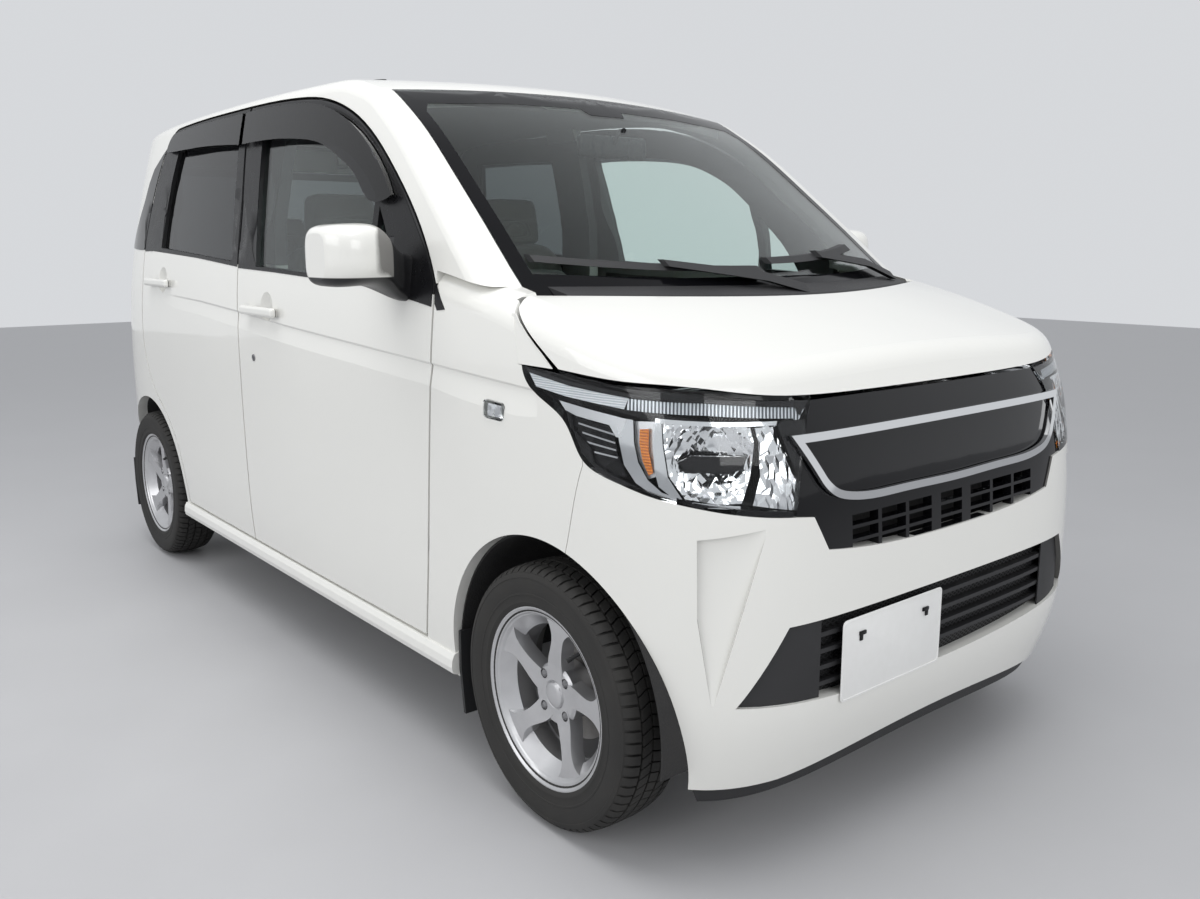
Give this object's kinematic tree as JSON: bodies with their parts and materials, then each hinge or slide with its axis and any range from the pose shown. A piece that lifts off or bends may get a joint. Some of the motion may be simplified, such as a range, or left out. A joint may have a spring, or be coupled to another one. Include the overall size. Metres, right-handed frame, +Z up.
{
  "type": "kei car",
  "caption": "Five-door tall kei car with hinged doors, bonnet and tailgate, steered front wheels on knuckles and free-turning wheels.",
  "frame": {"origin": "on the road surface, at the middle of the car's length and width", "axes": "+X forward to the nose, +Y to the car's left, +Z up"},
  "size_m": [3.4085, 1.86, 1.6549],
  "materials": {
    "alloy": "silver painted alloy",
    "black_gloss": "piano black",
    "black_plastic": "grained black",
    "chassis": "black chassis coat",
    "chrome": "bright plated",
    "engine": "cast block",
    "fabric": "woven seat cloth",
    "glass_clear": "green tinted glass",
    "glass_dark": "privacy glass",
    "interior": "grained dark trim",
    "lamp": "clear lamp lens",
    "lamp_red": "red lamp lens",
    "paint": "warm pearl white gloss",
    "paint_trim": "warm pearl white gloss bumper",
    "steel": "bare steel",
    "tyre": "all-season rubber",
    "visor": "smoked visor"
  },
  "bodies": {
    "car_body": {"chin_spoiler": "black_plastic", "cowl_cover": "black_plastic", "dashboard": "interior", "engine": "engine", "exhaust": "steel", "fender_left": "paint", "fender_right": "paint", "floor_pan": "chassis", "front_bumper": "paint_trim", "front_grille": "black_gloss", "front_seats": "fabric", "front_struts": "chassis", "front_subframe": "chassis", "fuel_tank": "chassis", "grille_frame": "chrome", "headlamps": "lamp", "lower_grille": "black_plastic", "mudguards": "black_plastic", "rear_axle": "chassis", "rear_bumper": "paint_trim", "rear_seat": "fabric", "roof_panel": "paint", "side_frame_left": "paint", "side_frame_right": "paint", "side_markers": "lamp", "tail_lamps": "lamp_red", "wheel_liners": "black_plastic", "windscreen": "glass_clear", "wipers": "black_plastic"},
    "front_door_right": {"door_front_right": "paint", "window_front_right": "glass_clear", "visor_front_right": "visor", "mirror_right": "paint_trim"},
    "rear_door_right": {"door_rear_right": "paint", "window_rear_right": "glass_dark", "visor_rear_right": "visor"},
    "knuckle_right": {"knuckle_right": "steel"},
    "wheel_front_right": {"rim_front_right": "alloy", "tyre_front_right": "tyre"},
    "wheel_rear_right": {"rim_rear_right": "alloy", "tyre_rear_right": "tyre"},
    "front_door_left": {"door_front_left": "paint", "window_front_left": "glass_clear", "visor_front_left": "visor", "mirror_left": "paint_trim"},
    "rear_door_left": {"door_rear_left": "paint", "window_rear_left": "glass_dark", "visor_rear_left": "visor"},
    "knuckle_left": {"knuckle_left": "steel"},
    "wheel_front_left": {"rim_front_left": "alloy", "tyre_front_left": "tyre"},
    "wheel_rear_left": {"rim_rear_left": "alloy", "tyre_rear_left": "tyre"},
    "bonnet": {"bonnet": "paint"},
    "tailgate": {"tailgate": "paint", "tailgate_window": "glass_dark", "rear_wiper": "black_plastic"},
    "steering_wheel": {"steering_wheel": "interior"}
  },
  "joints": [
    {"name": "front_door_right_hinge", "type": "hinge", "parent": "car_body", "child": "front_door_right", "pos_m": [0.745, -0.718, 0.66], "axis": [0, 0, 1], "range_deg": [0, 65]},
    {"name": "front_door_left_hinge", "type": "hinge", "parent": "car_body", "child": "front_door_left", "pos_m": [0.745, 0.718, 0.66], "axis": [0, 0, -1], "range_deg": [0, 65]},
    {"name": "rear_door_right_hinge", "type": "hinge", "parent": "car_body", "child": "rear_door_right", "pos_m": [-0.381, -0.718, 0.66], "axis": [0, 0, 1], "range_deg": [0, 65]},
    {"name": "rear_door_left_hinge", "type": "hinge", "parent": "car_body", "child": "rear_door_left", "pos_m": [-0.381, 0.718, 0.66], "axis": [0, 0, -1], "range_deg": [0, 65]},
    {"name": "bonnet_hinge", "type": "hinge", "parent": "car_body", "child": "bonnet", "pos_m": [1.13, 0, 1.078], "axis": [0, -1, 0], "range_deg": [0, 50]},
    {"name": "tailgate_hinge", "type": "hinge", "parent": "car_body", "child": "tailgate", "pos_m": [-1.49, 0, 1.611], "axis": [0, 1, 0], "range_deg": [0, 80]},
    {"name": "steering_left", "type": "hinge", "parent": "car_body", "child": "knuckle_left", "pos_m": [1.225, 0.5685, 0.2785], "axis": [0, -0.2079, 0.9781], "range_deg": [-33, 33]},
    {"name": "wheel_front_left_spin", "type": "hinge", "parent": "knuckle_left", "child": "wheel_front_left", "pos_m": [1.225, 0.6525, 0.2785], "axis": [0, 1, 0], "continuous": true},
    {"name": "wheel_rear_left_spin", "type": "hinge", "parent": "car_body", "child": "wheel_rear_left", "pos_m": [-1.295, 0.6525, 0.2785], "axis": [0, 1, 0], "continuous": true},
    {"name": "steering_right", "type": "hinge", "parent": "car_body", "child": "knuckle_right", "pos_m": [1.225, -0.5685, 0.2785], "axis": [0, 0.2079, 0.9781], "range_deg": [-33, 33]},
    {"name": "wheel_front_right_spin", "type": "hinge", "parent": "knuckle_right", "child": "wheel_front_right", "pos_m": [1.225, -0.6525, 0.2785], "axis": [0, 1, 0], "continuous": true},
    {"name": "wheel_rear_right_spin", "type": "hinge", "parent": "car_body", "child": "wheel_rear_right", "pos_m": [-1.295, -0.6525, 0.2785], "axis": [0, 1, 0], "continuous": true},
    {"name": "steering_wheel_turn", "type": "hinge", "parent": "car_body", "child": "steering_wheel", "pos_m": [0.33796, -0.33188, 0.95659], "axis": [-0.8988, 0, 0.4384], "range_deg": [-500, 500]}
  ],
  "couplings": [
    {"joint": "steering_right", "follows": "steering_left", "ratio": 1},
    {"joint": "steering_wheel_turn", "follows": "steering_left", "ratio": 15}
  ]
}
